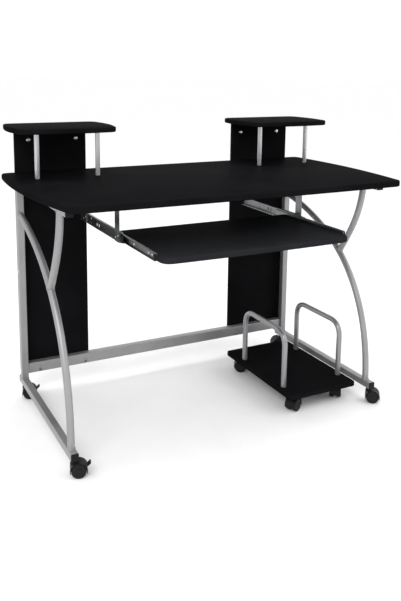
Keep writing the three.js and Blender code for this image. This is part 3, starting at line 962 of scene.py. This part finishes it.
def make_casters():
    for joint in [j for j in JOINTS if j.endswith("_swivel_turn")]:
        name = joint.removesuffix("_swivel_turn")
        base, trail = caster_frame(name)
        _, hood_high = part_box(f"{name}_caster_hood")
        make_hood(name, f"{name}_caster_hood", base, trail, hood_high.z)
        make_wheels(name, f"{name}_caster_wheels", base, trail)
        if f"{name}_brake_press" in JOINTS:
            make_brake(name, f"{name}_caster_brake", base)


# ---------- studio ----------
CAMERA_PLACE = (-1.0156, -1.9108, 1.0730)
# Degrees to the right of +Y, below level, and clockwise about the line of sight.
CAMERA_YAW, CAMERA_PITCH, CAMERA_ROLL = 27.514, 9.828, -0.736
CAMERA_LENS, CAMERA_SHIFT = 43.509, -0.185


def make_camera():
    """In front of the desk's left end and above it, looking slightly down."""
    yaw, pitch, roll = (math.radians(a) for a in (CAMERA_YAW, CAMERA_PITCH, CAMERA_ROLL))
    forward = Vector((math.sin(yaw) * math.cos(pitch), math.cos(yaw) * math.cos(pitch),
                      -math.sin(pitch)))
    right = forward.cross(Z).normalized()
    up = right.cross(forward)
    turned_right = right * math.cos(roll) - up * math.sin(roll)
    turned_up = right * math.sin(roll) + up * math.cos(roll)
    data = bpy.data.cameras.new("camera")
    data.lens, data.shift_y = CAMERA_LENS, CAMERA_SHIFT
    data.clip_start, data.clip_end = 0.05, 60
    camera = bpy.data.objects.new("camera", data)
    bpy.context.scene.collection.objects.link(camera)
    turn = Matrix((turned_right, turned_up, -forward)).transposed().to_4x4()
    camera.matrix_world = Matrix.Translation(CAMERA_PLACE) @ turn
    bpy.context.scene.camera = camera


def make_light(name, place, target, size, power):
    data = bpy.data.lights.new(name, "AREA")
    data.shape, data.size, data.size_y, data.energy = "RECTANGLE", *size, power
    lamp = bpy.data.objects.new(name, data)
    lamp.location = place
    lamp.rotation_euler = (Vector(target) - Vector(place)).to_track_quat("-Z", "Y").to_euler()
    bpy.context.scene.collection.objects.link(lamp)


FLOOR_RADIUS, FLOOR_HEIGHT, FLOOR_SIDES = 60, -0.0002, 64
WORLD_STRENGTH = 1.12
# Name, place, size and power of each lamp. All aim at LIGHT_TARGET.
LIGHTS = (("key", (-2.2, -2.2, 2.6), (1.6, 1.6), 60), ("fill", (2.6, -1.6, 1.6), (1.8, 1.8), 22),
          ("top", (0.2, 0.2, 3.0), (2.4, 1.6), 30))
LIGHT_TARGET = (0, 0, 0.45)


def make_floor():
    bm = bmesh.new()
    outline = [(FLOOR_RADIUS * math.cos(math.tau * i / FLOOR_SIDES),
                FLOOR_RADIUS * math.sin(math.tau * i / FLOOR_SIDES)) for i in range(FLOOR_SIDES)]
    bm.faces.new([bm.verts.new((x, y, FLOOR_HEIGHT)) for x, y in outline])
    mesh = bpy.data.meshes.new("studio_floor")
    bm.to_mesh(mesh)
    bm.free()
    floor = bpy.data.objects.new("studio_floor", mesh)
    bpy.context.scene.collection.objects.link(floor)
    mesh.materials.append(surface("pale_floor", (0.86, 0.86, 0.86), (0.89, 0.89, 0.89),
                                  (0.89, 0.89, 0.89), 0.0, (0.70, 0.80), 60, (0.02, 0.0002)))


def make_studio():
    """A pale floor, an even white surround and three soft lamps."""
    make_floor()
    world = bpy.data.worlds.new("studio")
    world.use_nodes = True
    background = world.node_tree.nodes["Background"]
    background.inputs["Color"].default_value = (1, 1, 1, 1)
    background.inputs["Strength"].default_value = WORLD_STRENGTH
    bpy.context.scene.world = world
    for name, place, size, power in LIGHTS:
        make_light(name, place, LIGHT_TARGET, size, power)


# ---------- the whole scene ----------
make_boards()
for side_name in SIDES:
    for post_place in ("inner", "outer"):
        make_post(side_name, post_place)
    make_side_frame(side_name)
    make_channel(side_name)
    make_inner_rail(side_name)
    make_slide_stop(side_name)
    make_cage(side_name)
    for hanger_place in ("front", "rear"):
        make_hanger(side_name, hanger_place)
    make_cart_rail(side_name)
make_crossbar()
make_casters()
make_camera()
make_studio()
bpy.context.scene.view_settings.view_transform = "Standard"
